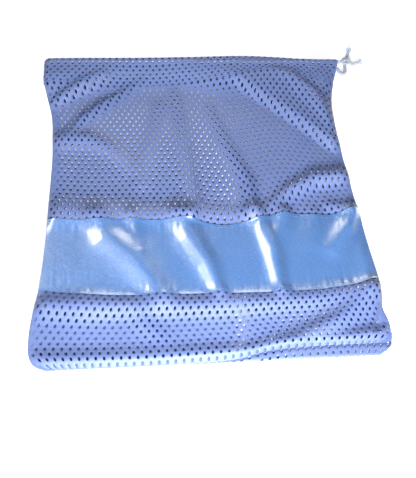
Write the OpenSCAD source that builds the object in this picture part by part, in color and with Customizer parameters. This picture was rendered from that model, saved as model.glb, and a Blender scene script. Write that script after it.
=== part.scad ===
// Drawstring bag of open mesh, lying flat on its back, with a satin band sewn round it.
// X runs across the bag, Y from the base to the mouth, Z up from the surface it lies on.
// The origin is under the middle of the bag, on that surface. Millimetres.

/* [Bag] */
// Length from the base to the edge of the mouth
bag_len = 304; // [240:1:400]
// Width across the casing at the mouth
hem_w = 282; // [220:1:380]
// Width at the narrowest place, below the casing
neck_w = 260; // [200:1:360]
// Width across the base
base_w = 284; // [220:1:390]
// Radius of the two base corners
base_corner_r = 15; // [8:1:30]
// Clear height between the back and the front in the body of the bag
loft = 6; // [5:0.5:11]

/* [Mesh] */
// Thickness of the knitted mesh
mesh_t = 0.8; // [0.5:0.1:1.5]
// Width of the seam allowance turned inside
seam_allow = 6; // [3:0.5:10]

/* [Casing] */
// Height of the casing, from its stitching to the mouth
casing_h = 33; // [22:1:50]
// Height of the mouth between the two casings
mouth_gap = 5; // [5:0.2:10]
// Distance below the casing over which the bag narrows to its neck and its front comes down
neck_drop = 35; // [20:1:60]

/* [Satin band] */
// Distance from the mouth to the band's upper edge
band_from_mouth = 178; // [130:1:200]
// Height of the band
band_h = 66; // [40:1:85]
// Thickness of the satin
satin_t = 0.4; // [0.2:0.1:0.6]
// Width of the edge turned under along each side of the band
band_turn = 6; // [4:0.5:10]

/* [Thread] */
// Diameter of the sewing thread
thread_d = 0.3; // [0.2:0.05:0.4]
// Distance of each row of stitches from the edge it holds
stitch_inset = 2.5; // [1.5:0.5:3.5]

/* [Drawcord] */
// Diameter of the cord
cord_d = 3; // [2:0.5:4]
// Space between the cord and the casing's walls
cord_room = 0.3; // [0.2:0.1:0.6]
// Distance from the mouth's edge to the cord inside the casing
cord_from_mouth = 11; // [5:0.5:14]
// Radius of the knot that joins the two ends of the cord
join_knot_r = 4.2; // [3.5:0.1:6]
// Radius of the flared tip that seals each end of the cord
tip_r = 2.9; // [2.3:0.1:4]
// Length of each flared tip
tip_len = 2.4; // [1.5:0.1:4]

/* [Hidden] */

mesh_colour = [0.50, 0.56, 0.80];
satin_colour = [0.42, 0.60, 0.88];
cord_colour = [0.78, 0.81, 0.88];
thread_colour = [0.40, 0.55, 0.85];

// Clearance that keeps two cloths from sharing a face, and a thread from its groove
lay_gap = 0.1;
groove_gap = 0.05;

y_mouth = bag_len / 2;
y_casing = y_mouth - casing_h;
y_neck = y_casing - neck_drop;
y_round = -bag_len / 2 + base_corner_r;
band_top = y_mouth - band_from_mouth;
band_bottom = band_top - band_h;

// The casing is a flat tube in front and another behind, with the mouth between them. The two are
// alike about the middle height.
channel = cord_d + 2 * cord_room;
tube_t = channel + 2 * mesh_t;
turn_r = (tube_t + mouth_gap) / 2;
turn_outer = turn_r + tube_t / 2;
mid_z = turn_outer;
turn_x = -hem_w / 2 + turn_outer;
mouth_x = hem_w / 2;
cord_y = y_mouth - cord_from_mouth;
back_run_z = mid_z - turn_r;
front_run_z = mid_z + turn_r;

// Layers of the back, from the surface up. The turned edges make the band twice its cloth thick.
band_edge_t = 2 * satin_t;
back_z = band_edge_t + lay_gap;
inside_z = back_z + mesh_t;
front_z = inside_z + loft;
front_hem_z = 2 * mid_z - inside_z;
front_face_z = front_z + mesh_t + lay_gap + band_edge_t;
seam_wall = 2 * mesh_t;

// How fast the sides spread from the neck to the base: 1 would be straight.
spread_power = 1.7;

function smooth(t) = t * t * (3 - 2 * t);

// Half of the bag's width at a distance y from its middle
function half_w(y) =
    y >= y_casing ? hem_w / 2 :
    y >= y_neck ? neck_w / 2 + (hem_w - neck_w) / 2 * smooth((y - y_neck) / neck_drop) :
    neck_w / 2 + (base_w - neck_w) / 2 * pow((y_neck - y) / (y_neck - y_round), spread_power);

// The right edge between two heights, moved in by inset, in n steps
function right_edge(y_hi, y_lo, inset, n = 18) =
    [for (i = [0:n]) let (y = y_hi + (y_lo - y_hi) * i / n) [half_w(y) - inset, y]];

// The round base corner on the right, without its first point, moved in by inset
function right_corner(inset, n = 8, first = 1) =
    [for (i = [first:n]) let (a = -90 * i / n)
        [base_w / 2 - base_corner_r + (base_corner_r - inset) * cos(a),
         y_round + (base_corner_r - inset) * sin(a)]];

function reversed(points) = [for (i = [len(points) - 1:-1:0]) points[i]];
function mirrored(points) = [for (p = reversed(points)) [-p[0], p[1]]];

module slab(z, t) {
    translate([0, 0, z]) linear_extrude(t) children();
}

// The same piece turned over, with its face up at height z
module turned_over(z) {
    translate([0, 0, z]) mirror([0, 0, 1]) children();
}

// A section of the bag from base to mouth, as points [y, z], carried right across it
module across(section) {
    translate([-base_w, 0, 0]) rotate([90, 0, 90]) linear_extrude(2 * base_w) polygon(section);
}

// The cut shape of a whole panel, from the casing to the base
module panel_shape() {
    right = concat(right_edge(y_casing, y_round, 0), right_corner(0));
    polygon(concat(right, mirrored(right)));
}

// The cut shape of a strip across the panel between two heights
module strip_shape(y_hi, y_lo) {
    right = right_edge(y_hi, y_lo, 0, 8);
    polygon(concat(right, mirrored(right)));
}

// A strip of width w along the right side, moved in by inset
module side_strip(inset, w) {
    polygon(concat(
        right_edge(y_casing, y_round, inset),
        reversed(right_edge(y_casing, y_round, inset + w))));
}

// The same round the base corner
module corner_strip(inset, w) {
    polygon(concat(
        right_corner(inset, first = 0),
        reversed(right_corner(inset + w, first = 0))));
}

// Height of the front's underside, from the base to the casing: level, then up to the casing
front_line = [[-bag_len / 2, front_z], [y_neck, front_z], [y_casing, front_hem_z]];

// A seam between front and back: two cloths on edge, with their allowance turned inside at half height
module seam_wall_and_allowance() {
    intersection() {
        across(concat(front_line, [[y_casing, inside_z], [-bag_len / 2, inside_z]]));
        slab(0, 2 * mid_z) children(0);
    }
    slab(inside_z + loft / 2 - mesh_t, 2 * mesh_t) children(1);
}

module back_mesh_panel() {
    color(mesh_colour) slab(back_z, mesh_t) panel_shape();
}

module front_mesh_panel() {
    color(mesh_colour) intersection() {
        across(concat(front_line, [for (i = [2:-1:0]) front_line[i] + [0, mesh_t]]));
        slab(0, 2 * mid_z) panel_shape();
    }
}

// The satin band with its face on the surface and its edges turned under, grooved for two rows of thread
module satin_band() {
    color(satin_colour) difference() {
        union() {
            slab(0, satin_t) strip_shape(band_top, band_bottom);
            slab(satin_t / 2, band_edge_t - satin_t / 2) strip_shape(band_top, band_top - band_turn);
            slab(satin_t / 2, band_edge_t - satin_t / 2) strip_shape(band_bottom + band_turn, band_bottom);
        }
        for (y = [band_top - stitch_inset, band_bottom + stitch_inset])
            thread_row(y, 2 * base_w, thread_d + groove_gap, -groove_gap);
    }
}

// A row of stitches across the bag at height y: a thread w wide that starts at height z
module thread_row(y, length, w, z = 0) {
    translate([-length / 2, y - w / 2, z]) cube([length, w, w]);
}

module band_thread(y) {
    color(thread_colour) thread_row(y, 2 * half_w(y) - 2 * stitch_inset, thread_d - groove_gap);
}

module side_seam() {
    color(mesh_colour) seam_wall_and_allowance() {
        side_strip(0, seam_wall);
        side_strip(0, seam_wall + seam_allow);
    }
}

// Height of the sewn part that closes the casings' right ends below the cord's way out
exit_seam_h = casing_h - cord_from_mouth - cord_d - 4 * cord_room - 8;

module right_side_seam() {
    side_seam();
    color(mesh_colour)
        translate([mouth_x - seam_wall, y_casing, tube_t])
            cube([seam_wall, exit_seam_h, mouth_gap]);
}

module base_seam() {
    flat = base_w / 2 - base_corner_r;
    color(mesh_colour) seam_wall_and_allowance() {
        translate([-flat, -bag_len / 2]) square([2 * flat, seam_wall]);
        translate([-flat, -bag_len / 2]) square([2 * flat, seam_wall + seam_allow]);
    }
}

module base_corner() {
    color(mesh_colour) seam_wall_and_allowance() {
        corner_strip(0, seam_wall);
        corner_strip(0, seam_wall + seam_allow);
    }
}

// Outline of one casing tube across its length, with its fold at the mouth and its groove for the thread
module casing_profile() {
    difference() {
        union() {
            square([casing_h - tube_t / 2, tube_t]);
            translate([casing_h - tube_t / 2, tube_t / 2]) circle(d = tube_t, $fn = 48);
        }
        translate([2 * stitch_inset, mesh_t]) square([casing_h - tube_t / 2 - 2 * stitch_inset, channel]);
        translate([casing_h - tube_t / 2, tube_t / 2]) circle(d = channel, $fn = 48);
        translate([stitch_inset - thread_d / 2 - groove_gap / 2, -groove_gap])
            square(thread_d + 2 * groove_gap);
    }
}

// The tube lying on its outer face, from the end of the left turn to the mouth's right side
module casing_tube() {
    color(mesh_colour) translate([turn_x, y_casing, 0])
        rotate([90, 0, 90]) linear_extrude(mouth_x - turn_x) casing_profile();
}

module casing_thread() {
    color(thread_colour)
        translate([turn_x, y_casing + stitch_inset - thread_d / 2, 0])
            cube([mouth_x - turn_x - stitch_inset, thread_d - groove_gap, thread_d - groove_gap]);
}

// The casing's left end, where the cloth and the cord turn from the front to the back
module left_casing_turn() {
    color(mesh_colour)
        translate([turn_x, y_casing, mid_z]) rotate([-90, 0, 0]) difference() {
            cylinder(r = turn_outer, h = casing_h, $fn = 96);
            translate([0, 0, -1]) cylinder(r = turn_r - tube_t / 2, h = casing_h + 2, $fn = 96);
            translate([0, 0, 2 * stitch_inset]) difference() {
                cylinder(r = turn_r + channel / 2, h = casing_h - 2 * stitch_inset - mesh_t, $fn = 96);
                translate([0, 0, -1]) cylinder(r = turn_r - channel / 2, h = casing_h, $fn = 96);
            }
            translate([0, -turn_outer - 1, -1]) cube([turn_outer + 1, 2 * turn_outer + 2, casing_h + 2]);
        }
}

// The cord inside the casing: along the front, round the left turn and back
module cord_casing_run() {
    run = mouth_x - turn_x;
    color(cord_colour) {
        for (z = [back_run_z, front_run_z])
            translate([turn_x, cord_y, z]) rotate([0, 90, 0]) cylinder(d = cord_d, h = run, $fn = 32);
        translate([turn_x, cord_y, mid_z]) rotate([90, 0, 0]) difference() {
            rotate_extrude($fn = 64) translate([turn_r, 0]) circle(d = cord_d, $fn = 32);
            translate([0, -2 * turn_r, -cord_d]) cube([2 * turn_r, 4 * turn_r, 2 * cord_d]);
        }
    }
}

// Routes of the free cord. Each strand leaves the casing level, then drops to the knot that lies on
// the surface beside the mouth; the two tails lie on the surface too.
lie_z = cord_d / 2 + 0.1;
knot_at = [mouth_x + 12, cord_y + 8.5, join_knot_r + 0.2];
front_route = [
    [mouth_x, cord_y, front_run_z], [mouth_x + 1.5, cord_y, front_run_z],
    [mouth_x + 3, cord_y, front_run_z], [mouth_x + 6, cord_y + 3, front_run_z - 1.2],
    [mouth_x + 8.5, cord_y + 6.5, front_run_z - 3.2],
    knot_at + [-2.4, 0.6, 2.7]
];
back_route = [
    [mouth_x, cord_y, back_run_z], [mouth_x + 1.5, cord_y, back_run_z],
    [mouth_x + 3, cord_y, back_run_z], [mouth_x + 4.2, cord_y - 3.5, back_run_z],
    [mouth_x + 7, cord_y - 6, back_run_z], [mouth_x + 10, cord_y - 3.5, back_run_z + 0.3],
    knot_at + [-0.9, -3.4, -1.1]
];
front_tail_route = [
    knot_at + [1.1, 3.4, -1.1], [knot_at[0] + 3, knot_at[1] + 8, lie_z],
    [knot_at[0] + 5, knot_at[1] + 12, lie_z + 0.6], [knot_at[0] + 6.4, knot_at[1] + 15.5, tip_r + 0.1]
];
back_tail_route = [
    knot_at + [3.5, -0.4, -1.1], [knot_at[0] + 7.5, knot_at[1] - 1, lie_z],
    [knot_at[0] + 11, knot_at[1] - 0.4, lie_z + 0.6], [knot_at[0] + 14.6, knot_at[1] + 0.4, tip_r + 0.1]
];

function unit(v) = v / norm(v);
// Direction of a route at its point i
function heading(p, i) = unit(p[min(i + 1, len(p) - 1)] - p[max(i - 1, 0)]);
// A point on the smooth curve through a route, at i + t
function spline(p, i, t) =
    let (a = p[max(i - 1, 0)], b = p[i], c = p[i + 1], d = p[min(i + 2, len(p) - 1)])
    0.5 * (2 * b + (c - a) * t + (2 * a - 5 * b + 4 * c - d) * t * t + (3 * b - 3 * c + d - a) * t * t * t);
function smooth_route(p, n) = concat(
    [for (i = [0:len(p) - 2], k = [0:n - 1]) spline(p, i, k / n)], [p[len(p) - 1]]);

// Rings of the tube for each stretch of a route
cord_steps = 2;

// A round tube of the cord's thickness along a route
module cord_tube(route, sides = 8) {
    p = smooth_route(route, cord_steps);
    up = [0, 0, 1];
    rings = [for (i = [0:len(p) - 1])
        let (d = heading(p, i), across = unit(cross(d, up)), over = cross(across, d))
        for (k = [0:sides - 1])
            p[i] + cord_d / 2 * (cos(360 * k / sides) * across + sin(360 * k / sides) * over)];
    walls = [for (i = [0:len(p) - 2], k = [0:sides - 1])
        let (a = i * sides + k, b = i * sides + (k + 1) % sides)
        each [[a, b, b + sides], [a, b + sides, a + sides]]];
    ends = [[for (k = [sides - 1:-1:0]) k],
        [for (k = [0:sides - 1]) (len(p) - 1) * sides + k]];
    color(cord_colour) polyhedron(rings, concat(walls, ends), convexity = 6);
}

module joining_knot() {
    color(cord_colour) translate(knot_at) sphere(r = join_knot_r, $fn = 32);
}

// The flared tip that continues a tail past its last point
module cord_tip(route) {
    p = smooth_route(route, cord_steps);
    d = heading(p, len(p) - 1);
    color(cord_colour) translate(p[len(p) - 1])
        rotate([0, acos(d[2]), atan2(d[1], d[0])]) cylinder(r = tip_r, h = tip_len, $fn = 32);
}

back_mesh_panel();
front_mesh_panel();
satin_band();  // back_satin_band
turned_over(front_face_z) satin_band();  // front_satin_band
mirror([1, 0, 0]) side_seam();  // left_side_seam
right_side_seam();
base_seam();
mirror([1, 0, 0]) base_corner();  // left_base_corner
base_corner();  // right_base_corner
turned_over(2 * mid_z) casing_tube();  // front_casing
casing_tube();  // back_casing
left_casing_turn();
turned_over(2 * mid_z) casing_thread();  // front_casing_stitching
casing_thread();  // back_casing_stitching
turned_over(front_face_z) band_thread(band_top - stitch_inset);  // front_band_upper_stitching
turned_over(front_face_z) band_thread(band_bottom + stitch_inset);  // front_band_lower_stitching
band_thread(band_top - stitch_inset);  // back_band_upper_stitching
band_thread(band_bottom + stitch_inset);  // back_band_lower_stitching
cord_casing_run();
cord_tube(front_route);  // front_cord_strand
cord_tube(back_route);  // back_cord_strand
joining_knot();
cord_tube(front_tail_route);  // front_cord_tail
cord_tube(back_tail_route);  // back_cord_tail
cord_tip(front_tail_route);  // front_cord_tip
cord_tip(back_tail_route);  // back_cord_tip
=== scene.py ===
# %% [markdown]
# # A mesh drawstring bag, piece by piece
#
# The bag lies flat on its back. X runs across it, Y from the base to the mouth, Z up.
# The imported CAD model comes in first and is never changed: it says where everything is.
# Every piece made here takes the place of one or more of its plain solids.

import bpy
import numpy as np
from mathutils import Matrix


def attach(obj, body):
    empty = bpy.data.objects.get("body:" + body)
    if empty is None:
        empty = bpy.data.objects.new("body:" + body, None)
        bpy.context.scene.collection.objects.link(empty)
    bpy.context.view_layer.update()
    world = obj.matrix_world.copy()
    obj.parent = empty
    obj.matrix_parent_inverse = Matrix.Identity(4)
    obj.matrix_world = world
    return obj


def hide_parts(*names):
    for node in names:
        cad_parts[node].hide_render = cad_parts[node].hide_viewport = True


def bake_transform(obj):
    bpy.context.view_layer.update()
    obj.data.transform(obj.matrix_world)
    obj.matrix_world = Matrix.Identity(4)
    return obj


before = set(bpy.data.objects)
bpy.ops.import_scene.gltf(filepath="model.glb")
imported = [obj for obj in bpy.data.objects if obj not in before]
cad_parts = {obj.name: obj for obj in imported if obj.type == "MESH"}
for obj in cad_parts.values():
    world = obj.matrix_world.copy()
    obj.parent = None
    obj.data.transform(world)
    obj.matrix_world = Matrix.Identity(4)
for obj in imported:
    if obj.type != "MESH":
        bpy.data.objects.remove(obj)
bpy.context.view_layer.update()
MM = 0.001

# %% [markdown]
# ## The camera
#
# A camera could be placed by dragging it in the view. Working its three axes out from an azimuth,
# an elevation and a roll keeps the view exact, and each number can be changed alone.

# %% Camera
view_azimuth, view_elevation, view_roll = np.radians([-13.2, 61.4, 10.1])
view_distance = 546 * MM
view_target = np.array([0.8, -44.5, 0]) * MM

toward = np.array([
    np.sin(view_azimuth) * np.cos(view_elevation),
    -np.cos(view_azimuth) * np.cos(view_elevation),
    np.sin(view_elevation),
])
level = np.cross(-toward, [0, 0, 1])
level /= np.linalg.norm(level)
upward = np.cross(level, -toward)
view_right = level * np.cos(view_roll) + upward * np.sin(view_roll)
view_up = -level * np.sin(view_roll) + upward * np.cos(view_roll)

camera_data = bpy.data.cameras.new("camera")
camera_data.lens = 48.95
camera_data.clip_start = 0.02
camera = bpy.data.objects.new("camera", camera_data)
placed = np.eye(4)
placed[:3, 0], placed[:3, 1], placed[:3, 2] = view_right, view_up, toward
placed[:3, 3] = view_target + toward * view_distance
camera.matrix_world = Matrix(placed.tolist())
bpy.context.scene.collection.objects.link(camera)
bpy.context.scene.camera = camera
print("camera at, mm:", (placed[:3, 3] / MM).round(1))

# %% [markdown]
# ## Two helpers for every shape
#
# Each piece is a set of points worked out as whole arrays, in millimetres, and the faces between
# them. Blender gets both in one call, together with a map that says where on the flat cloth or
# along the cord each point lies, so that the finishes can follow the piece.

# %% Making a mesh
def new_piece(name, points, faces, flat=None, rim=None):
    """A smooth-shaded object from points in millimetres and lists of faces. flat gives each
    point's place on the piece as two numbers, which become its UV map. rim numbers the points on each
    kind of cut edge from 1, and an edge between two points with the same number stays sharp."""
    mesh = bpy.data.meshes.new(name)
    polygons = [polygon for block in faces for polygon in np.asarray(block).tolist()]
    mesh.from_pydata((np.asarray(points) * MM).tolist(), [], polygons)
    if flat is not None:
        corner = np.empty(len(mesh.loops), np.int32)
        mesh.loops.foreach_get("vertex_index", corner)
        layer = mesh.uv_layers.new(name="cloth")
        layer.data.foreach_set("uv", np.asarray(flat, np.float32)[corner].ravel())
    mesh.shade_smooth()
    if rim is not None:
        ends = np.empty(len(mesh.edges) * 2, np.int32)
        mesh.edges.foreach_get("vertices", ends)
        sharp = mesh.attributes.new("sharp_edge", "BOOLEAN", "EDGE")
        first, second = rim[ends].reshape(-1, 2).T
        sharp.data.foreach_set("value", (first > 0) & (first == second))
    mesh.update()
    piece = bpy.data.objects.new(name, mesh)
    bpy.context.scene.collection.objects.link(piece)
    print(f"{name}: {len(points)} points, {len(polygons)} faces")
    return piece


def grid_faces(rows, columns, wrap=False):
    """Four-cornered faces between the points of a grid, stored row by row. With wrap, the last
    column joins the first, as round a tube."""
    i, j = np.meshgrid(np.arange(rows - 1), np.arange(columns if wrap else columns - 1), indexing="ij")
    k = (j + 1) % columns
    return np.stack([i * columns + j, i * columns + k, (i + 1) * columns + k, (i + 1) * columns + j],
                    -1).reshape(-1, 4)


def smooth_step(t):
    """0 before 0, 1 after 1, and the S-shaped 3t² − 2t³ between."""
    t = np.clip(t, 0, 1)
    return t * t * (3 - 2 * t)


def bell(t):
    """A hump of height 1 at 0: e to the power of minus t squared."""
    return np.exp(-np.square(t))


# %% [markdown]
# ## The cord
#
# The real cord is a soft 3 mm braid in one length. It runs inside the casing along the front, turns
# back on the left and leaves at the right corner, where both ends are tied in one knot. A curve with
# a round bevel would do, but a swept tube carries a map of its own length and girth, which the
# braid's pattern needs. The points below are the middle of the cord where the CAD model has it.

# %% Cord sizes and routes
cord_r = 1.5
braid_swell = 0.2
mouth_x = 141
cord_y = 141
back_run_z, front_run_z = 2.6, 12.8
turn_x = -133.3
turn_r = (front_run_z - back_run_z) / 2
turn_z = (front_run_z + back_run_z) / 2
knot_at = np.array([153.0, 149.5, 4.4])
lie_z = 1.6
tip_z = 3.0

front_strand = [
    [mouth_x, cord_y, front_run_z], [142.5, cord_y, front_run_z], [144, cord_y, front_run_z],
    [147, 144, front_run_z - 1.2], [149.5, 147.5, front_run_z - 3.2], knot_at + [-2.4, 0.6, 2.7],
]
back_strand = [
    [mouth_x, cord_y, back_run_z], [142.5, cord_y, back_run_z], [144, cord_y, back_run_z],
    [145.2, 137.5, back_run_z], [148, 135, back_run_z], [151, 137.5, back_run_z + 0.3],
    knot_at + [-0.9, -3.4, -1.1],
]
front_tail = [
    knot_at + [1.1, 3.4, -1.1], [156, 157.5, lie_z], [158, 161.5, lie_z + 0.6], [159.4, 165, tip_z],
]
back_tail = [
    knot_at + [3.5, -0.4, -1.1], [160.5, 148.5, lie_z], [164, 149.1, lie_z + 0.6], [167.6, 149.9, tip_z],
]


def through(points, steps=8):
    """A smooth curve through points: between each two, the cubic whose slope at a point is half the
    way from the point before it to the point after it."""
    p = np.asarray(points, float)
    before = np.vstack([p[:1], p, p[-1:]])
    a, b, c, d = before[:-3], before[1:-2], before[2:-1], before[3:]
    t = (np.arange(steps) / steps)[None, :, None]
    a, b, c, d = (q[:, None, :] for q in (a, b, c, d))
    between = 0.5 * (2 * b + (c - a) * t + (2 * a - 5 * b + 4 * c - d) * t**2
                     + (3 * b - 3 * c + d - a) * t**3)
    return np.vstack([between.reshape(-1, 3), p[-1:]])


def length_along(path):
    """Distance from the start of a path to each of its points."""
    return np.concatenate([[0], np.cumsum(np.linalg.norm(np.diff(path, axis=0), axis=1))])


front_line = through(front_strand + front_tail)
back_line = through(back_strand + back_tail)
print("free cord, mm:", round(length_along(front_line)[-1], 1), round(length_along(back_line)[-1], 1))

# %% Sweeping a round section along a path
def tube(name, path, radius, sides=16, hint=(0, 0, 1)):
    """A closed tube: at each point of the path a ring stands square to it, whose points go round
    at radius from the middle. radius is one number or one for each point."""
    path = np.asarray(path, float)
    ahead = np.gradient(path, axis=0)
    ahead /= np.linalg.norm(ahead, axis=1, keepdims=True)
    sideways = np.cross(ahead, np.asarray(hint, float))
    sideways /= np.linalg.norm(sideways, axis=1, keepdims=True)
    over = np.cross(sideways, ahead)
    turn = np.linspace(0, 2 * np.pi, sides, endpoint=False)
    r = np.broadcast_to(np.asarray(radius, float), len(path))[:, None, None]
    rings = path[:, None, :] + r * (
        np.cos(turn)[None, :, None] * sideways[:, None, :]
        + np.sin(turn)[None, :, None] * over[:, None, :])
    along = np.repeat(length_along(path), sides)
    round_it = np.tile(np.arange(sides) / sides, len(path))
    middle = len(path) * sides
    first = np.stack([np.full(sides, middle), (np.arange(sides) + 1) % sides, np.arange(sides)], -1)
    last = (len(path) - 1) * sides + np.arange(sides)
    caps = np.stack([np.full(sides, middle + 1), last, np.roll(last, -1)], -1)
    points = np.vstack([rings.reshape(-1, 3), path[:1], path[-1:]])
    flat = np.stack([np.append(along, [0, along[-1]]), np.append(round_it, [0, 0])], -1)
    walls = grid_faces(len(path), sides, wrap=True)
    return new_piece(name, points, [walls, first, caps], flat)


front_cord = tube("front_free_cord", front_line, cord_r + braid_swell)
back_cord = tube("back_free_cord", back_line, cord_r + braid_swell)

# %% [markdown]
# The stretch inside the casing is straight, then half a circle, then straight again. It shows only
# through the holes of the mesh, but it is what closes the bag, so it is made whole.

# %% Cord inside the casing
straight = np.linspace(mouth_x, turn_x, 60)
bend = np.linspace(np.pi / 2, 3 * np.pi / 2, 26)[1:-1]
run_x = np.concatenate([straight, turn_x + turn_r * np.cos(bend), straight[::-1]])
run_z = np.concatenate([0 * straight + front_run_z, turn_z + turn_r * np.sin(bend),
                        0 * straight + back_run_z])
run_line = np.stack([run_x, 0 * run_x + cord_y, run_z], -1)
casing_cord = tube("casing_cord", run_line, cord_r, hint=(0, 1, 0))

# %% [markdown]
# ### The knot and the sealed ends
#
# An overhand knot is a trefoil: the cord goes twice round while it weaves over and under three
# times. Swept along that closed line and pulled tight, it is the lump seen at the corner. Each end
# of the cord was melted so that it can't fray, which left a flared, slightly hollow tip.

# %% Knot and tips
knot_cord_r = 1.35
knot_size = [1.06, 1.06, 1.0]
weave = 1.35
angle = np.linspace(0, 2 * np.pi, 97)
trefoil = np.stack([
    np.sin(angle) + 2 * np.sin(2 * angle),
    np.cos(angle) - 2 * np.cos(2 * angle),
    -weave * np.sin(3 * angle),
], -1)
tilt = np.array([[0.87, -0.35, 0.35], [0.43, 0.87, -0.25], [-0.22, 0.37, 0.90]])
tilt, _ = np.linalg.qr(tilt)
knot_line = knot_at + (trefoil * knot_size) @ tilt.T
knot = tube("joining_knot_cord", knot_line, knot_cord_r, hint=(0.3, 0.2, 1))


def sealed_tip(name, line):
    """A short turned shape past the end of a cord: its radius swells from the cord's own to the
    flare's, stays, and closes in a shallow cup."""
    start = line[-1]
    ahead = line[-1] - line[-3]
    ahead /= np.linalg.norm(ahead)
    reach = np.array([-0.6, 0, 0.5, 1.0, 1.6, 2.1, 2.35, 2.3, 2.0])
    width = np.array([1.3, 1.55, 2.0, 2.45, 2.75, 2.8, 2.5, 1.7, 0.6])
    return tube(name, start + reach[:, None] * ahead, width, sides=20)


front_tip = sealed_tip("front_tip", front_line)
back_tip = sealed_tip("back_tip", back_line)

# %% [markdown]
# ## Where the cloth lies
#
# An empty bag is two sheets that touch in places and stand up in folds elsewhere. A simulation would
# fold it somehow; here each fold has to be where the real one is, so the height of the cloth is the
# sum of soft ridges, each drawn along a short line of points with its own height and width.
# Lines across the bag, such as the band's edges, aren't straight either, and a few points each say
# how far they stray.

# %% Outline of the bag
base_y, band_low, band_high, stitch_y, mouth_y = -152.5, -92, -26, 119, 152
corner_r = 17


def curve(x, knots):
    """A smooth line through a few points (place, value): a cubic between each two that takes its
    slopes from the points beside them, and level past the ends."""
    place, value = np.array(knots, float).T
    slope = np.gradient(value, place)
    i = np.clip(np.searchsorted(place, x) - 1, 0, len(place) - 2)
    step = place[i + 1] - place[i]
    t = np.clip((x - place[i]) / step, 0, 1)
    return ((2 * t**3 - 3 * t**2 + 1) * value[i] + (t**3 - 2 * t**2 + t) * step * slope[i]
            + (3 * t**2 - 2 * t**3) * value[i + 1] + (t**3 - t**2) * step * slope[i + 1])


LEFT_EDGE = [(-154, -141.5), (-126, -142), (-92, -136.5), (-50, -133), (0, -131.3), (55, -130.5),
             (88, -133), (106, -137), (120, -140)]
RIGHT_EDGE = [(-154, 140.5), (-134, 141.5), (-118, 138.5), (-104, 140), (-60, 137), (-20, 134.5),
              (30, 131.5), (65, 129.5), (92, 130), (106, 131.5), (118, 134), (128, 137.5), (140, 141)]


def corner_cut(y):
    """How far the round base corners take the sides in: the gap between a square corner and a
    quarter circle."""
    below = np.clip(base_y + corner_r - y, 0, corner_r - 0.2)
    return corner_r - np.sqrt(corner_r**2 - below**2)


def left_edge(y):
    return curve(y, LEFT_EDGE) + corner_cut(y)


def right_edge(y):
    return curve(y, RIGHT_EDGE) - corner_cut(y)


corner_reach = 60


def across(s, y):
    """x at s from -1, left, to 1, right, over the width at height y. The steps are even, but a round
    base corner takes in only the cloth within corner_reach of it."""
    low, high = curve(y, LEFT_EDGE), curve(y, RIGHT_EDGE)
    x = low + (high - low) * (s + 1) / 2
    near_left = np.clip(1 - (x - low) / corner_reach, 0, 1) ** 2
    near_right = np.clip(1 - (high - x) / corner_reach, 0, 1) ** 2
    return x + corner_cut(y) * (near_left - near_right)


# How far each line across the bag strays from straight, as (x, distance along Y)
BAND_LOW_STRAY = [(-140, 6), (-120, 2), (-90, -1.5), (0, -3.5), (54, -4.5), (95, -3), (120, 0), (138, 5)]
BAND_HIGH_STRAY = [(-132, 2), (-105, -1), (-50, -1.5), (-8, -3), (13, -7), (34, -5), (72, 2.3), (107, 0.5),
                   (132, 5)]
STITCH_STRAY = [(-138, 0), (-89, 0), (-42, 1), (-14, 3), (20, 6), (44, 9), (64, 12), (90, 10), (112, 4),
                (135, -2)]
MOUTH_STRAY = [(-138, -8.6), (-126, -8.2), (-45, -7), (0, -5.6), (52, -4), (77, -5.2), (102, -7.6),
               (126, -8.6), (141, -8.4)]
SEAM_ABOVE_BASE = [(-140, 0.6), (-20, 0.8), (15, 2.5), (45, 7.5), (80, 9), (138, 8.5)]


def row_at(x, v):
    """Where a thread of the cloth that was cut at height v lies now: v plus the stray of the marked
    lines above and below it, shared out between them."""
    marks = [base_y, band_low, band_high, stitch_y, mouth_y]
    stray = [0 * x, curve(x, BAND_LOW_STRAY), curve(x, BAND_HIGH_STRAY), curve(x, STITCH_STRAY),
             curve(x, MOUTH_STRAY)]
    i = np.clip(np.searchsorted(marks, v) - 1, 0, 3)
    low, high = np.take(marks, i), np.take(marks, i + 1)
    t = (v - low) / (high - low)
    table = np.stack(np.broadcast_arrays(*stray))
    pick = np.indices(np.shape(i))
    return v + (1 - t) * table[(i, *pick)] + t * table[(i + 1, *pick)]


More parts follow.
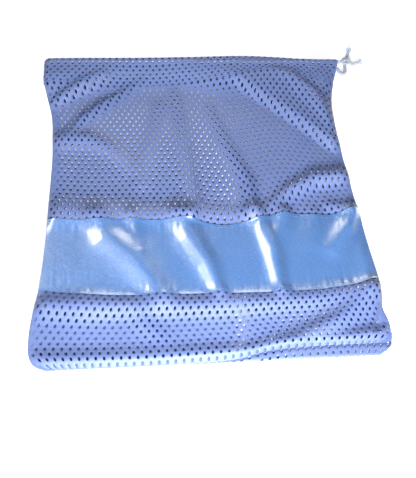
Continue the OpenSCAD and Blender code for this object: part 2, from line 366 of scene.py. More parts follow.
# %% Folds of the front
# Each fold is a line of points (x, y, height, half width)
FOLDS = [
    # across the upper mesh
    [(70, 134, 2, 5), (92, 124, 5, 6), (112, 104, 6, 6), (128, 78, 4, 6)],
    [(96, 110, 2, 5), (112, 92, 3.5, 5), (126, 66, 3, 5)],
    [(58, -14, 3, 6), (76, 0, 6, 7), (99, 11, 8.5, 8), (133, 15, 8, 8)],
    [(-136, 96, 4, 5), (-120, 106, 7, 6), (-104, 117, 7.5, 6), (-86, 127, 4, 5)],
    [(-116, 66, 2, 6), (-104, 80, 5, 6), (-86, 96, 5, 6), (-64, 113, 3, 5), (-50, 122, 1, 5)],
    [(-134, 56, 4.8, 9), (-100, 59, 5, 9), (-78, 48, 3.6, 8), (-64, 28, 1.4, 8)],
    [(-134, -18, 6, 15), (-90, -18, 5.4, 14), (-50, -20, 4.4, 12), (-20, -21, 3, 9), (60, -22, 2, 9)],
    [(-20, 112, 1.4, 6), (-15, 60, 2, 7), (-12, 20, 3, 7), (-8, -12, 5, 7), (-12, -24, 5, 6)],
    [(12, 92, 1.2, 6), (24, 50, 2, 7), (40, 10, 3.4, 7), (40, -10, 4.4, 7), (38, -24, 4, 6)],
    [(-34, 96, 1.6, 7), (-44, 50, 2, 8), (-52, 10, 1.6, 8)],
    [(110, -16, 2.4, 6), (133, -22, 4, 8)],
    # across the lower mesh
    [(-137, -101, 5.5, 9), (-104, -102, 6.5, 11), (-74, -103, 5.2, 9), (-40, -104, 4.5, 9), (0, -105, 5, 9),
     (50, -104, 5, 9), (92, -102, 4.4, 9), (136, -95, 5, 9)],
    [(-68, -103, 1, 7), (-56, -118, 2, 8), (-42, -131, 1.4, 8)],
    [(-138, -145, 3.8, 8), (-100, -146, 4, 8), (-60, -146, 3.6, 8), (-20, -146, 4, 8), (30, -146, 4.8, 8),
     (66, -138, 6, 9), (96, -124, 6.5, 9), (122, -108, 6, 9), (138, -97, 5, 9)],
    [(84, -140, 2, 5), (108, -137, 4.5, 6), (132, -134, 4.5, 7)],
    [(138, -112, -4, 2.6), (130, -132, -2.6, 2.4)],
]

# The same along the satin band
BAND_FOLDS = [
    [(-92, -24, 4.8, 10), (-82, -42, 6.2, 13), (-62, -62, 6.2, 13), (-40, -94, 5, 10)],
    [(-62, -22, 3.4, 6), (-58, -38, 3, 6), (-56, -54, 0.8, 7)],
    [(-22, -22, 6, 10.5), (-14, -44, 6.4, 10.5), (-2, -68, 6, 8.5), (6, -94, 4.6, 6.5)],
    [(44, -22, 5.4, 8), (50, -44, 5.8, 8), (54, -66, 5.6, 7.5), (56, -94, 4.6, 6)],
    [(68, -22, 5, 6.5), (63, -38, 3.8, 6.5), (57, -56, 1.6, 6)],
    [(96, -24, 2, 8), (88, -50, 1.2, 10)],
    [(130, -22, 5.2, 7), (121, -38, 5.6, 7), (106, -58, 2.6, 9)],
    [(134, -60, 1.4, 8), (130, -92, 1.4, 8)],
]


def ridge(x, y, line):
    """The fold drawn along a line of points: a bell of the distance to the line, whose height and
    width are those of the nearest place on it."""
    best = np.full(np.shape(x), np.inf)
    height = np.zeros(np.shape(x))
    for (x0, y0, h0, w0), (x1, y1, h1, w1) in zip(line[:-1], line[1:]):
        dx, dy = x1 - x0, y1 - y0
        t = np.clip(((x - x0) * dx + (y - y0) * dy) / (dx * dx + dy * dy), 0, 1)
        away = np.hypot(x - x0 - t * dx, y - y0 - t * dy)
        height = np.where(away < best, (h0 + t * (h1 - h0)) * bell(away / (w0 + t * (w1 - w0))), height)
        best = np.minimum(best, away)
    return height


# Middle of the back sheet over the surface, and from it to the middle of the front one
back_lie = 0.45
sheet_gap = 1.3
# How full the cloth is where it rounds in to a seam: 1 would be a straight slope
roundness = 2.2
# Middle of the climb to the casing, and of the diagonal fold that takes part of it at the right
HEM_CLIMB = [(-140, 110), (-110, 117), (-60, 125), (5, 124), (40, 117), (140, 112)]
DIAGONAL_CLIMB = [(20, 128), (40, 121), (60, 104), (80, 87), (104, 64), (120, 48), (136, 42)]


def front_height(x, y):
    """Middle of the front sheet over the surface, away from the edges: it lies on the back sheet,
    climbs to the casing near the mouth, at the right in two steps, and carries the folds, which fade
    where the cord runs. A groove is never deeper than the back sheet allows."""
    lying = back_lie + sheet_gap
    hem = smooth_step((y - curve(x, HEM_CLIMB) + 15) / 30)
    diagonal = smooth_step((y - curve(x, DIAGONAL_CLIMB) + 8) / 16)
    share = 0.7 * smooth_step((x - 15) / 40)
    climb = (front_run_z - lying) * (share * diagonal + (1 - share) * hem)
    inside_band = smooth_step((y - band_low + 3) / 24) * smooth_step((band_high + 3 - y) / 24)
    folds = sum(ridge(x, y, line) for line in FOLDS) * (1 - 0.9 * inside_band)
    folds = folds + sum(ridge(x, y, line) for line in BAND_FOLDS)
    folded = folds * (1 - bell((y - cord_y) / 8)) * (1 - 0.4 * climb / front_run_z)
    return np.maximum(lying + climb + folded, 1.0)


def back_height(x, y):
    """Middle of the back sheet: on the surface, a little higher over the back's satin band, and up
    to the cord's height in the casing."""
    over_band = smooth_step((y - band_low + 3) / 5) * smooth_step((band_high + 3 - y) / 5)
    climb = (back_run_z - back_lie) * smooth_step((y - 104) / 24)
    return back_lie + 0.5 * over_band + climb


def side_rise(x, low, high, reach=11):
    """0 on the bag's side, 1 from reach inward: a rise that starts steep and rounds off level."""
    inward = np.clip(np.minimum(x - low, high - x) / reach, 0, 1)
    return 1 - (1 - inward) ** roundness


def seam_height(x, y):
    """Height of the line where front and back meet at the sides: a quarter of the way from the back
    sheet to the front one, and halfway at the casing."""
    share = 0.25 + 0.25 * smooth_step((y - 84) / 34)
    return back_height(x, y) + (front_height(x, y) - back_height(x, y)) * share


# %% Front and back sheets as surfaces
base_seam_z = 1.2
base_round = 8
half_width = 140


def front_sheet(s, v):
    """Point of the front sheet at s from -1, left, to 1, right, on the thread cut at height v."""
    low, high = left_edge(v), right_edge(v)
    x = across(s, v)
    y = row_at(x, v)
    seam = base_y + curve(x, SEAM_ABOVE_BASE)
    raised = 1 - (seam - base_y) / (row_at(x, band_low + 0 * x) - base_y)
    y = np.where(v < band_low, seam + (y - base_y) * raised, y)
    middle = seam_height(np.where(s < 0, low, high), y)
    z = middle + (front_height(x, y) - middle) * side_rise(x, low, high)
    base_dip = 1 - (1 - np.clip((y - seam) / base_round, 0, 1)) ** roundness
    z = base_seam_z + (z - base_seam_z) * base_dip
    return np.stack([x, y, z], -1)


def back_sheet(s, q):
    """Point of the back sheet at s across, q along the cloth from the base seam: over the top of the
    rolled base edge, round it, and along the surface to the casing. The roll is fuller where the
    seam shows above the base."""
    fold_at = curve(s * half_width, SEAM_ABOVE_BASE)
    roll_r = 0.55 + 0.8 * smooth_step((fold_at - 1) / 5)
    roll_turn = np.pi * roll_r
    past = q - fold_at
    span = back_cut - fold_at - roll_turn
    under = base_y + roll_r + (past - roll_turn) * (stitch_y - base_y - roll_r) / span
    over = base_y + roll_r - past
    angle_round = np.clip(past / roll_r, 0, np.pi)
    bent = base_y + roll_r - roll_r * np.sin(angle_round)
    y_flat = np.where(past < 0, over, np.where(past > roll_turn, under, bent))
    low, high = left_edge(y_flat), right_edge(y_flat)
    x = across(s, y_flat)
    y = np.where(past > roll_turn, row_at(x, y_flat), y_flat)
    middle = seam_height(np.where(s < 0, low, high), y)
    lying = middle + (back_height(x, y) - middle) * side_rise(x, low, high)
    rolled = back_lie + roll_r + roll_r * np.cos(angle_round)
    rolled = np.where(past < 0, rolled - roll_r * bell(q / 1.6), rolled)
    z = np.where(past > roll_turn, lying, rolled)
    return np.stack([x, y, z], -1)


front_cut = stitch_y - base_y
back_cut = front_cut + 8
print("cut lengths of the two sheets, mm:", front_cut, back_cut)

# %% [markdown]
# ## The mesh cloth
#
# The cloth is a knitted mesh: upright oval holes in rows, each row shifted by half a hole. A picture
# of holes would be flat, and the holes have to show the other sheet and cast its shadows. So each
# hole is real. Round it goes one six-sided cell, and the cells fit together as in a honeycomb. The
# cloth is thickest halfway between two holes and thins to a round edge at each hole.

# %% A sheet of cells
hole_pitch = 6.2
row_pitch = 4.5
hole_half_w, hole_half_h = 1.08, 1.55
cloth_half_t = 0.3
tolerance = 1e-6
tall = (hole_pitch**2 / 4 + row_pitch**2) / (2 * row_pitch)
short = (row_pitch**2 - hole_pitch**2 / 4) / (2 * row_pitch)


def cell_rims():
    """The twelve rim points of one cell, from the top round to the right, and the twelve points of
    its oval hole at the same turns."""
    a = hole_pitch / 2
    six = np.array([[0, tall], [a, short], [a, -short], [0, -tall], [-a, -short], [-a, short]])
    rim = np.stack([six, (six + np.roll(six, -1, 0)) / 2], 1).reshape(12, 2)
    turn = np.arange(12) * np.pi / 6
    hole = np.stack([hole_half_w * np.sin(turn), hole_half_h * np.cos(turn)], -1)
    return rim, hole


def mesh_cloth(name, columns, rows, surface, u_span, v_span):
    """A sheet of columns by rows cells, laid on surface(u, v), where u and v run over the two spans.
    Rim points stand half the cloth's thickness to each side, along the surface's normal, border points
    half as much, with a wall between them, and hole points lie on the surface, which closes the sheet."""
    rim, hole = cell_rims()
    width = columns * hole_pitch
    j, i = np.meshgrid(np.arange(rows), np.arange(columns), indexing="ij")
    keep = (j % 2 == 0) | (i < columns - 1)
    j, i = j[keep], i[keep]
    centre = np.stack([(i + 0.5 + 0.5 * (j % 2)) * hole_pitch, j * row_pitch], -1)
    ring = centre[:, None, :] + rim
    border = row_pitch / 2 + 0.1
    lowest, highest = -border, (rows - 1) * row_pitch + border
    first, last = (j == 0)[:, None], (j == rows - 1)[:, None]
    ring[..., 1] = np.where(first & (rim[:, 1] <= -short + tolerance), lowest, ring[..., 1])
    ring[..., 1] = np.where(last & (rim[:, 1] >= short - tolerance), highest, ring[..., 1])
    inner = centre[:, None, :] + hole

    # half a cell, without a hole, ends each shifted row
    odd = np.arange(1, rows, 2) * row_pitch
    half = np.array([[0, -tall], [-hole_pitch / 4, -(tall + short) / 2], [-hole_pitch / 2, -short],
                     [-hole_pitch / 2, 0], [0, 0]])
    upper = half[::-1] * [1, -1]
    ends = []
    for side, edge in ((1, width), (-1, 0)):
        for part in (half, upper):
            block = np.array([edge, 0]) + part * [side, 1]
            block = block[None] + np.stack([0 * odd, odd], -1)[:, None, :]
            ends.append(block if side == 1 else block[:, ::-1])
    ends = np.concatenate(ends)
    ends[..., 1] = np.clip(ends[..., 1], lowest, highest)

    flat = np.concatenate([ring.reshape(-1, 2), inner.reshape(-1, 2), ends.reshape(-1, 2)])
    on_border = ((flat[:, 0] < tolerance) | (flat[:, 0] > width - tolerance)
                 | (flat[:, 1] < lowest + tolerance) | (flat[:, 1] > highest - tolerance))
    is_hole = np.zeros(len(flat), bool)
    is_hole[ring.size // 2:ring.size] = True
    lift = np.where(is_hole, 0.0, np.where(on_border, 0.5, 1.0))

    n_ring = ring.size // 2
    outer_i = np.arange(n_ring).reshape(-1, len(rim))
    inner_i = outer_i + n_ring
    cell_faces = np.stack([outer_i, np.roll(outer_i, -1, 1), np.roll(inner_i, -1, 1), inner_i], -1)
    cell_faces = cell_faces.reshape(-1, 4)
    end_faces = (2 * n_ring + np.arange(ends.size // 2)).reshape(-1, len(half))

    # the same points again for the underside, then every point that coincides becomes one
    both = np.concatenate([np.column_stack([flat, lift]), np.column_stack([flat, -lift])])
    keys = np.round(both * [100, 100, 2]).astype(np.int64)
    _, chosen, number = np.unique(keys, axis=0, return_index=True, return_inverse=True)
    number = number.ravel()
    points = both[chosen]
    n = len(flat)
    faces = [number[cell_faces[:, ::-1]], number[cell_faces + n],
             number[end_faces[:, ::-1]], number[end_faces + n]]

    # an edge of the upper side between two border points that no other face shares gets a wall
    partner = np.zeros(len(points), np.int64)
    partner[number[:n]] = number[n:]
    side_by_side = np.concatenate([np.stack([block, np.roll(block, -1, 1)], -1).reshape(-1, 2)
                                   for block in (faces[0], faces[2])])
    on_rim = np.tile(on_border, 2)[chosen]
    a, b = side_by_side[on_rim[side_by_side].all(1)].T
    alone = ~np.isin(a * len(points) + b, b * len(points) + a)
    a, b = a[alone], b[alone]
    faces.append(np.stack([b, a, partner[a], partner[b]], -1))

    u = u_span[0] + (u_span[1] - u_span[0]) * points[:, 0] / width
    v = v_span[0] + (v_span[1] - v_span[0]) * (points[:, 1] - lowest) / (highest - lowest)
    small_u = (u_span[1] - u_span[0]) / width * 0.4
    small_v = (v_span[1] - v_span[0]) / (highest - lowest) * 0.4
    here = surface(u, v)
    u_ends, v_ends = sorted(u_span), sorted(v_span)
    along_u = (surface(np.clip(u + small_u, *u_ends), v)
               - surface(np.clip(u - small_u, *u_ends), v))
    along_v = (surface(u, np.clip(v + small_v, *v_ends))
               - surface(u, np.clip(v - small_v, *v_ends)))
    normal = np.cross(along_u, along_v)
    normal /= np.maximum(np.linalg.norm(normal, axis=1, keepdims=True), 1e-9)
    placed_at = here + normal * (points[:, 2] * cloth_half_t)[:, None]
    rim_kind = np.concatenate([is_hole + 2 * on_border, is_hole + 3 * on_border])[chosen]
    return new_piece(name, placed_at, faces, points[:, :2] * 0.01, rim_kind)


cells_across = 45
under_casing = 1
front_mesh = mesh_cloth("front_mesh", cells_across, 61, front_sheet, (-1, 1),
                        (base_y, stitch_y + under_casing))
back_mesh = mesh_cloth("back_mesh", cells_across, 63, back_sheet, (1, -1),
                       (0, back_cut + under_casing))

# %% [markdown]
# ## The casing
#
# The casing is one strip of the same mesh, folded in half over the cord and stitched down. It goes
# along the front of the mouth, round the left end and back behind. The folded strip is a flat loop
# in section, with a swelling where the cord lies in it, and that section is carried along the path.

# %% The folded strip round the mouth
casing_front_len = mouth_x - turn_x
casing_turn_len = np.pi * turn_r
casing_len = 2 * casing_front_len + casing_turn_len
fold_r = 0.9
strip_half = 0.4
round_share = 0.035
# Beyond this far from the middle, the casing's ends bend to where the bag's sides are
end_from = 95
turn_outer_x = turn_x - turn_r - 2.0


def casing_strip(p, q):
    """Point at p along the casing from its front right end, and q round its section, from 0 at the
    outer stitching over the fold at the mouth, at one half, to 1 at the inner stitching."""
    on_turn = np.clip((p - casing_front_len) / casing_turn_len, 0, 1)
    past_turn = np.maximum(p - casing_front_len - casing_turn_len, 0)
    x = np.where(p < casing_front_len, mouth_x - p, turn_x + past_turn)
    y_low, y_high = row_at(x, stitch_y + 0 * x), row_at(x, mouth_y + 0 * x) - fold_r
    outer = np.clip(q / (0.5 - round_share), 0, 1)
    inner = np.clip((1 - q) / (0.5 - round_share), 0, 1)
    round_turn = np.clip((q - 0.5 + round_share) / (2 * round_share), 0, 1) * np.pi
    t = np.where(q < 0.5, outer, inner)
    y = y_low + (y_high - y_low) * t + fold_r * np.sin(round_turn)
    swell = strip_half + (fold_r - strip_half) * smooth_step((t - 0.55) / 0.4)
    half = swell + (cord_r + cloth_half_t + 0.15 - swell) * bell((y - cord_y) / 3.4)
    offset = half * np.cos(round_turn)
    offset = np.where(q < 0.5 - round_share, half, np.where(q > 0.5 + round_share, -half, offset))
    high, low = front_height(x, y), back_height(x, y)
    closed = 1 - smooth_step((y - 123) / 10)
    pinch = 1 - closed * (1 - side_rise(x, -1e3, mouth_x))
    middle = (high + low) / 2
    reach = (high - low) / 2 * pinch
    swing = np.pi / 2 + np.pi * on_turn
    left_shift = turn_outer_x + reach + half - turn_x
    right_shift = right_edge(y) - mouth_x
    at_left = smooth_step((-end_from - x) / (-end_from - turn_x))
    at_right = smooth_step((x - end_from) / (mouth_x - end_from))
    x = x + left_shift * at_left + right_shift * at_right
    out = reach + offset
    return np.stack([x + np.cos(swing) * out, y, middle + np.sin(swing) * out], -1)


casing = mesh_cloth("mouth_casing", 91, 15, casing_strip, (0, casing_len), (0, 1))

# %% [markdown]
# ## The satin band
#
# A strip of satin is sewn over the mesh, front and back, with its long edges turned under. Satin is
# smooth, so it needs a fine grid of points: along its stitched edges the cloth is gathered by the
# thread into small puckers that fan out and die away.

# %% Satin band as a surface
satin_lift = 0.72


def puckers(x, v):
    """Small waves along both stitched edges: a mix of three wave lengths that never quite repeats,
    strongest near the edge and gone 14 mm in."""
    from_edge = np.minimum(band_high - v, v - band_low)
    top = v > (band_high + band_low) / 2
    shift = np.where(top, 0.0, 41.0)
    wave = (np.sin((x + shift) * 0.62 + 1.4 * np.sin(x * 0.11))
            + 0.7 * np.sin((x + shift) * 0.97 + 2.0 + np.sin(x * 0.07))
            + 0.5 * np.sin((x - shift) * 1.43 + 0.7))
    strength = 0.35 + 0.65 * np.square(np.sin(x * 0.043 + shift))
    return 0.36 * wave * strength * np.exp(-np.clip(from_edge, 0, None) / 6.5)


def front_satin(s, v):
    """The front band follows the front mesh, a little above it, and carries the puckers."""
    point = front_sheet(s, v)
    lift = satin_lift + 0.15 + puckers(point[..., 0], v)
    edge = smooth_step(np.minimum(band_high - v, v - band_low) / 6)
    point[..., 2] += satin_lift + (lift - satin_lift) * edge
    return point


def back_satin(s, v):
    """The back band lies on the surface under the back mesh."""
    low, high = left_edge(v), right_edge(v)
    x = across(s, v)
    y = row_at(x, v)
    middle = seam_height(np.where(s < 0, low, high), y)
    z = middle + (back_height(x, y) - middle) * side_rise(x, low, high)
    return np.stack([x, y, np.maximum(z - 0.6, 0.2)], -1)


def cloth_strip(name, surface, columns, rows, thickness, flip=False):
    """A closed strip: a fine grid on the surface, the same grid moved to the other side of the
    cloth, and a wall round the border."""
    s, v = np.meshgrid(np.linspace(-1, 1, columns), np.linspace(band_low, band_high, rows))
    middle = surface(s, v)
    normal = np.cross(np.gradient(middle, axis=1), np.gradient(middle, axis=0))
    normal /= np.linalg.norm(normal, axis=-1, keepdims=True)
    top = middle + normal * thickness / 2
    under = middle - normal * thickness / 2
    n = rows * columns
    faces = grid_faces(rows, columns)
    number = np.arange(n).reshape(rows, columns)
    loop = np.concatenate([number[0, :-1], number[:-1, -1], number[-1, :0:-1], number[:0:-1, 0]])
    wall = np.stack([loop, loop + n, np.roll(loop, -1) + n, np.roll(loop, -1)], -1)
    blocks = [faces, (faces + n)[:, ::-1], wall]
    flat = np.stack([s * half_width, v], -1).reshape(-1, 2) * 0.01
    rim = np.zeros(2 * n, int)
    rim[loop], rim[loop + n] = 1, 2
    points = np.concatenate([top.reshape(-1, 3), under.reshape(-1, 3)])
    return new_piece(name, points, blocks, np.vstack([flat, flat]), rim)


front_band = cloth_strip("front_band", front_satin, 280, 68, 0.3)
back_band = cloth_strip("back_band", back_satin, 200, 40, 0.3)

# %% [markdown]
# ## Seams
#
# The sides and the base are sewn from inside, so from outside a seam is the line where two cloths
# roll in together. Inside, a flat strip of both cloths stands off the seam: the allowance. One
# strip follows each stretch of the outline, with its edge just showing between front and back.

# %% Seam allowances
def seam_strip(name, edge_points, inward, wide=6.0, thick=0.9):
    """A closed flat strip along a line of points: a rounded oblong section of the given width and
    thickness, which starts on the line and reaches inward."""
    p = np.asarray(edge_points, float)
    inward = np.asarray(inward, float)
    turn = np.linspace(0, 2 * np.pi, 12, endpoint=False)
    inset = wide / 2 * (1 - np.sign(np.cos(turn)) * np.abs(np.cos(turn)) ** 0.5)
    up = thick / 2 * np.sign(np.sin(turn)) * np.abs(np.sin(turn)) ** 0.6
    rings = p[:, None, :] + inward[:, None, :] * inset[None, :, None]
    rings[..., 2] += up[None, :]
    sides = len(turn)
    walls = grid_faces(len(p), sides, wrap=True)
    ends = [np.arange(sides)[::-1][None], (len(p) - 1) * sides + np.arange(sides)[None]]
    along = np.repeat(length_along(p), sides)
    flat = np.stack([along, np.tile(inset, len(p))], -1) * 0.01
    return new_piece(name, rings.reshape(-1, 3), [walls, *ends], flat)


side_y = np.linspace(stitch_y, base_y + corner_r, 90)


def side_line(edge):
    """The line where front and back meet along one side of the bag."""
    x, y = edge(side_y), row_at(edge(side_y), side_y)
    return np.stack([x, y, seam_height(x, y)], -1)


left_line, right_line = side_line(left_edge), side_line(right_edge)
inward_right = np.tile([1.0, 0, 0], (len(side_y), 1))
left_seam = seam_strip("left_seam", left_line, inward_right)
right_seam = seam_strip("right_seam", right_line, -inward_right)

base_x = np.linspace(-125, 125, 120)
base_line = np.stack([base_x, base_y + curve(base_x, SEAM_ABOVE_BASE), np.full(120, 1.6)], -1)
base_seam = seam_strip("base_seam_allowance", base_line, np.tile([0, 1.0, 0], (120, 1)), thick=0.8)


def corner_line(side):
    """The base corner as a line of points from the end of the side seam round to the base seam."""
    start = left_line[-1] if side < 0 else right_line[-1]
    end = base_line[0] if side < 0 else base_line[-1]
    t = np.linspace(0, 1, 24)[:, None]
    knee = np.array([start[0], end[1], (start[2] + end[2]) / 2])
    return (1 - t) ** 2 * start + 2 * t * (1 - t) * knee + t**2 * end


def corner_seam(name, side):
    """The seam round one base corner, which turns from facing across the bag to facing along it."""
    turn = np.linspace(0, np.pi / 2, 24)
    inward = np.stack([-side * np.cos(turn), np.sin(turn), 0 * turn], -1)
    return seam_strip(name, corner_line(side), inward, wide=5)


left_corner = corner_seam("left_corner_seam", -1)
right_corner = corner_seam("right_corner_seam", 1)

# %% [markdown]
# ## Stitches
#
# A lockstitch shows as a row of short threads with a small gap between. Each stitch is a bead
# stretched along the row: fat in the middle, and its ends dip into the cloth. One stitch has few
# faces, because there are hundreds.

# %% Rows of stitches
stitch_len, stitch_gap, thread_r = 2.3, 0.7, 0.22
stitch_rings, ring_points = 5, 6


def stitch_side(name):
    """+1 where the row shows from above, -1 where it shows from below."""
    return -1.0 if name.startswith("back") else 1.0


def stitch_row(name, line):
    """Stitches along a line of points that lies on the cloth. At even steps along the line, each
    stitch is five rings of six points, thick in the middle, that rise out of the cloth and back."""
    run = length_along(line)
    count = int(run[-1] // (stitch_len + stitch_gap))
    along_one = np.linspace(-0.5, 0.5, stitch_rings) * stitch_len
    at = (np.arange(count)[:, None] + 0.5) * (run[-1] / count) + along_one
    middle = np.stack([np.interp(at, run, line[:, axis]) for axis in range(3)], -1)
    ahead = middle[:, -1:] - middle[:, :1]
    ahead /= np.linalg.norm(ahead, axis=-1, keepdims=True)
    sideways = np.cross(ahead, [0, 0, 1.0])
    sideways /= np.linalg.norm(sideways, axis=-1, keepdims=True)
    over = np.cross(sideways, ahead)
    turn = np.linspace(0, 2 * np.pi, ring_points, endpoint=False)
    fat = np.array([0.35, 0.9, 1.0, 0.9, 0.35]) * thread_r
    rise = np.array([-0.22, 0.02, 0.08, 0.02, -0.22]) * stitch_side(name)
    rings = (middle[:, :, None, :]
             + fat[None, :, None, None] * (np.cos(turn)[:, None] * sideways[:, :, None, :]
                                           + np.sin(turn)[:, None] * over[:, :, None, :]))
    rings[..., 2] += rise[None, :, None]
    walls = grid_faces(stitch_rings, ring_points, wrap=True)
    one_ring = np.arange(ring_points)
    caps = np.stack([one_ring[::-1], (stitch_rings - 1) * ring_points + one_ring])
    shift = (np.arange(count) * stitch_rings * ring_points)[:, None, None]
    flat = np.stack([np.repeat(at, ring_points), np.tile(turn / 6.3, count * stitch_rings)], -1) * 0.01
    blocks = [(block[None] + shift).reshape(-1, block.shape[1]) for block in (walls, caps)]
    return new_piece(name, rings.reshape(-1, 3), blocks, flat)


across_s = np.linspace(-0.985, 0.985, 400)
stitch_in = 2.5
stitches = {}
for side, surface, lift in (("front", front_satin, 0.2), ("back", back_satin, -0.05)):
    for edge, v in (("upper", band_high - stitch_in), ("lower", band_low + stitch_in)):
        line = surface(across_s, np.full(len(across_s), float(v)))
        line[:, 2] += lift
        row = f"{side}_band_{edge}"
        stitches[f"{row}_stitching"] = stitch_row(f"{row}_thread", line)

along_p = np.linspace(2, casing_front_len, 400)
for side, p, lift in (("front", along_p, 0.42), ("back", casing_len - along_p, -0.3)):
    line = casing_strip(p, np.full(len(p), 0.04))
    line[:, 2] += lift
    stitches[f"{side}_casing_stitching"] = stitch_row(f"{side}_casing_thread", line)

# %% [markdown]
# ## Finishes
#
# A finish is a graph of nodes. Writing it node by node is long, so one small class stands for an
# output in the graph and turns + - * / between outputs into Math nodes. Everything else, such as
# textures and mixes, comes from one method.

# %% A small language for shader graphs
class Signal:
    """One output of a node. Arithmetic with other outputs or numbers adds Math nodes."""

    def __init__(self, finish, socket):
        self.finish, self.socket = finish, socket

    def math(self, operation, *others):
        return self.finish.node("ShaderNodeMath", {"operation": operation},
                                dict(enumerate((self, *others))))

    def __add__(self, other):
        return self.math("ADD", other)

    def __sub__(self, other):
        return self.math("SUBTRACT", other)

    def __mul__(self, other):
        return self.math("MULTIPLY", other)

    def __truediv__(self, other):
        return self.math("DIVIDE", other)

    def __rsub__(self, other):
        return self.finish.node("ShaderNodeMath", {"operation": "SUBTRACT"}, {0: other, 1: self})

    __radd__ = __add__
    __rmul__ = __mul__


class Finish:
    """A material and its graph."""

    def __init__(self, name):
        self.material = bpy.data.materials.new(name)
        self.material.use_nodes = True
        self.tree = self.material.node_tree
        self.tree.nodes.clear()

    def node(self, kind, settings=None, inputs=None, output=0):
        """Adds a node of a kind, sets its settings, fills its inputs with numbers or links, and
        gives one of its outputs."""
        made = self.tree.nodes.new(kind)
        for key, value in (settings or {}).items():
            setattr(made, key, value)
        for key, value in (inputs or {}).items():
            socket = made.inputs[key]
            if isinstance(value, Signal):
                self.tree.links.new(value.socket, socket)
            else:
                socket.default_value = value
        return Signal(self, made.outputs[output])

    def surface(self, glow_through=0.0, glow_colour=(1, 1, 1, 1), **inputs):
        """The Principled shader with these inputs, as the material's surface. A share of the light,
        glow_through, comes through thin cloth from its far side instead, in one colour."""
        named = {key.replace("_", " ").title().replace("Ior", "IOR"): value
                 for key, value in inputs.items()}
        shader = self.node("ShaderNodeBsdfPrincipled", None, named)
        if glow_through:
            thin = self.node("ShaderNodeBsdfTranslucent", None, {"Color": glow_colour})
            shader = self.node("ShaderNodeMixShader", None, {0: glow_through, 1: shader, 2: thin})
        end = self.tree.nodes.new("ShaderNodeOutputMaterial")
        self.tree.links.new(shader.socket, end.inputs["Surface"])
        return self.material


print("shader language ready")

# %% [markdown]
# ### Mesh yarn
#
# The yarn is shiny polyester, knitted so that fine courses run across each bar of the net. The map
# on the cloth is in decimetres, so a wave of 900 radians per unit is a course every 0.7 mm. The
# colour drifts a little over the bag, and a painted highlight makes the yarn paler where the courses
# stand up.

# %% Yarn, satin, cord and thread
def colour_mix(finish, share, first, second):
    """A colour between two, by a share from 0 to 1."""
    return finish.node("ShaderNodeMix", {"data_type": "RGBA"}, {0: share, 6: first, 7: second}, output=2)


def noise(finish, place, scale, detail):
    """Soft cloudy noise at a place, with that many waves to the metre or to the unit of the map."""
    return finish.node("ShaderNodeTexNoise", None, {"Vector": place, "Scale": scale, "Detail": detail})


def bumps(finish, strength, distance, height):
    """A normal that follows a height without moving the surface."""
    return finish.node("ShaderNodeBump", None,
                       {"Strength": strength, "Distance": distance, "Height": height})


def place_on(finish):
    """The place on the piece, in metres."""
    return finish.node("ShaderNodeTexCoord", None, None, output=3)


def cloth_axes(finish):
    """The map of the flat cloth, and its two directions as separate signals."""
    flat = finish.node("ShaderNodeUVMap", {"uv_map": "cloth"})
    split = finish.node("ShaderNodeSeparateXYZ", None, {0: flat})
    return flat, split, Signal(finish, split.socket.node.outputs[1])


def yarn_finish():
    yarn = Finish("mesh_yarn")
    _, u, v = cloth_axes(yarn)
    course = (v * 900 + (u * 450).math("SINE") * 0.8).math("SINE")
    wale = (u * 700).math("SINE")
    knit = course * 0.6 + wale * 0.4
    place = place_on(yarn)
    drift = noise(yarn, place, 14.0, 3.0)
    fuzz = noise(yarn, place, 900.0, 2.0)
    # The knit courses also make the colour paler where they stand up: a painted highlight on the raised
    # yarn, beside the random drift and fuzz.
    shade = knit * 0.10 + 0.5 + (drift - 0.5) * 0.7 + (fuzz - 0.5) * 0.35
    colour = colour_mix(yarn, shade, (0.112, 0.168, 0.385, 1), (0.195, 0.266, 0.54, 1))
    bump = bumps(yarn, 0.35, 0.00025, knit * 0.5 + fuzz * 0.5)
    return yarn.surface(glow_through=0.38, glow_colour=(0.165, 0.24, 0.50, 1), base_color=colour,
                        roughness=0.48, sheen_weight=0.2, sheen_roughness=0.4, normal=bump,
                        specular_ior_level=0.55)


def satin_finish():
    satin = Finish("satin")
    flat, u, v = cloth_axes(satin)
    place = place_on(satin)
    drift = noise(satin, place, 22.0, 4.0)
    weft = (v * 2600).math("SINE")
    warp = (u * 1900).math("SINE")
    drawn_out = satin.node("ShaderNodeMapping", None, {"Vector": flat, "Scale": (30, 700, 1)})
    slub = noise(satin, drawn_out, 1.0, 2.0)
    crumple = noise(satin, place, 150.0, 2.0)
    shade = 0.5 + (drift - 0.5) * 0.9 + (slub - 0.5) * 0.4
    colour = colour_mix(satin, shade, (0.034, 0.108, 0.29, 1), (0.066, 0.16, 0.38, 1))
    bump = bumps(satin, 1.0, 0.0005, crumple + (weft * 0.3 + warp * 0.3 + slub * 0.8) * 0.07)
    return satin.surface(base_color=colour, roughness=0.27 + (slub - 0.5) * 0.12, sheen_weight=0.1,
                         sheen_roughness=0.3, normal=bump, ior=1.8, specular_ior_level=0.9,
                         coat_weight=1.0, coat_roughness=0.28, coat_ior=1.95)


def cord_finish():
    braid = Finish("braided_cord")
    _, along, girth = cloth_axes(braid)
    one = (along * 2.6 + girth * (2 * np.pi * 4)).math("SINE")
    other = (along * 2.6 - girth * (2 * np.pi * 4)).math("SINE")
    strand = one * other
    place = place_on(braid)
    fuzz = noise(braid, place, 1500.0, 2.0)
    # Painted shade: the colour follows the braid's relief, darker in the grooves between strands and paler
    # on the raised strands; the fuzz is random tone.
    shade = strand * 0.3 + 0.5 + (fuzz - 0.5) * 0.3
    colour = colour_mix(braid, shade, (0.19, 0.225, 0.30, 1), (0.40, 0.44, 0.52, 1))
    bump = bumps(braid, 0.6, 0.0003, strand * 0.5 + fuzz * 0.3)
    return braid.surface(base_color=colour, roughness=0.7, sheen_weight=0.3, normal=bump)


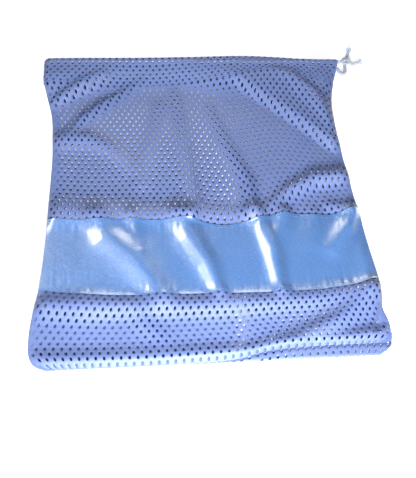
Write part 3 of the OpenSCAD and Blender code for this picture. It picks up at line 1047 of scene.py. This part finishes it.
def thread_finish():
    thread = Finish("sewing_thread")
    _, along, girth = cloth_axes(thread)
    twist = (along * 1400 + girth * 600).math("SINE")
    # Painted shade: the thread is darker in the grooves of its twist and paler on the raised plies.
    colour = colour_mix(thread, twist * 0.3 + 0.5, (0.05, 0.13, 0.36, 1), (0.10, 0.20, 0.48, 1))
    bump = bumps(thread, 0.4, 0.0001, twist)
    return thread.surface(base_color=colour, roughness=0.5, normal=bump)


def tip_finish():
    """Melted cord: smoother and a little darker than the braid."""
    tip = Finish("sealed_tip")
    place = place_on(tip)
    lumps = noise(tip, place, 700.0, 3.0)
    colour = colour_mix(tip, lumps, (0.17, 0.21, 0.29, 1), (0.36, 0.40, 0.48, 1))
    bump = bumps(tip, 0.5, 0.0003, lumps)
    return tip.surface(base_color=colour, roughness=0.42, normal=bump)


yarn_material = yarn_finish()
satin_material = satin_finish()
cord_material = cord_finish()
thread_material = thread_finish()
tip_material = tip_finish()
materials = (yarn_material, satin_material, cord_material, thread_material, tip_material)
print("finishes:", [material.name for material in materials])

# %% [markdown]
# ## Who rides on what
#
# Pulling the cord slides it along the casing and gathers the mouth. The cord and its knot are rigid
# here and ride on their own body. Each cloth piece gets its finish, hides the plain solids it
# stands for, and stays where it is made.


def finish_piece(piece, material, slot, *nodes):
    piece.data.materials.append(material)
    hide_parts(*nodes)


cloth_pieces = [
    (front_mesh, yarn_material, "mesh", ["front_mesh_panel"]),
    (back_mesh, yarn_material, "mesh", ["back_mesh_panel"]),
    (casing, yarn_material, "mesh", ["front_casing", "back_casing", "left_casing_turn"]),
    (front_band, satin_material, "satin", ["front_satin_band"]),
    (back_band, satin_material, "satin", ["back_satin_band"]),
    (left_seam, yarn_material, "mesh", ["left_side_seam"]),
    (right_seam, yarn_material, "mesh", ["right_side_seam"]),
    (base_seam, yarn_material, "mesh", ["base_seam"]),
    (left_corner, yarn_material, "mesh", ["left_base_corner"]),
    (right_corner, yarn_material, "mesh", ["right_base_corner"]),
] + [(row, thread_material, "thread", [node]) for node, row in stitches.items()]
for piece, material, slot, nodes in cloth_pieces:
    finish_piece(piece, material, slot, *nodes)
    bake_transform(piece)

cord_pieces = [
    (front_cord, cord_material, ["front_cord_strand", "front_cord_tail"]),
    (back_cord, cord_material, ["back_cord_strand", "back_cord_tail"]),
    (casing_cord, cord_material, ["cord_casing_run"]),
    (knot, cord_material, ["joining_knot"]),
    (front_tip, tip_material, ["front_cord_tip"]),
    (back_tip, tip_material, ["back_cord_tip"]),
]
for piece, material, nodes in cord_pieces:
    finish_piece(piece, material, "cord", *nodes)
    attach(piece, "drawcord")

# %% [markdown]
# ## How open the mesh is
#
# A free cord's length, printed where the cords are made, runs along the line it is swept along,
# straight through the knot. Here the share of the mesh that is holes is worked out, and the casing's
# length and width as cut.

# %% Open share of the mesh and the casing's cut
open_share = np.pi * hole_half_w * hole_half_h / (hole_pitch * row_pitch)
print("share of the mesh that is open:", round(open_share, 3))
casing_cut = (casing_len * MM, 0.068)
casing_cut[0] * casing_cut[1] * (1 - open_share)

# %% [markdown]
# ## Floor and light
#
# A plain pale floor, which glows a little so that it stays nearly white, and three soft lights. The
# key light stands low on the near side, so that what leans towards the base is bright and what leans
# towards the mouth is dim, which makes the folds readable. One stands high at the left, and a weak
# one beyond the mouth.

# %% Floor
floor_mesh = bpy.data.meshes.new("floor")
floor_half, floor_z = 3.0, -0.0003
floor_corners = [(-1, -1), (1, -1), (1, 1), (-1, 1)]
floor_mesh.from_pydata([(x * floor_half, y * floor_half, floor_z) for x, y in floor_corners],
                       [], [(0, 1, 2, 3)])
floor = bpy.data.objects.new("floor", floor_mesh)
bpy.context.scene.collection.objects.link(floor)
floor_paint = Finish("floor_paint")
floor_mesh.materials.append(floor_paint.surface(
    base_color=(0.95, 0.95, 0.95, 1), roughness=0.95, emission_color=(1, 1, 1, 1), emission_strength=0.3))


def softbox(name, place, aim, size, watts):
    """A square area light at a place in metres, turned to face another place."""
    lamp_data = bpy.data.lights.new(name, "AREA")
    lamp_data.size = size
    lamp_data.energy = watts
    lamp = bpy.data.objects.new(name, lamp_data)
    back = np.array(place, float) - np.array(aim, float)
    back /= np.linalg.norm(back)
    side = np.cross([0, 1, 0.001], back)
    side /= np.linalg.norm(side)
    turned = np.eye(4)
    turned[:3] = np.stack([side, np.cross(back, side), back, place], -1)
    lamp.matrix_world = Matrix(turned.tolist())
    bpy.context.scene.collection.objects.link(lamp)


softbox("key", (0.0, -0.45, 0.25), (0.05, -0.10, 0), 0.16, 8.8)
softbox("left", (-0.75, 0.17, 0.70), (0, -0.06, 0), 0.24, 3.9)
softbox("far", (0.05, 0.50, 0.22), (0.04, 0.24, 0), 0.3, 1.3)

world = bpy.data.worlds.new("sky")
bpy.context.scene.world = world
world.use_nodes = True
sky = world.node_tree.nodes["Background"].inputs
sky["Color"].default_value = (0.93, 0.96, 1.0, 1)
sky["Strength"].default_value = 0.16
bpy.context.scene.view_settings.view_transform = "Standard"
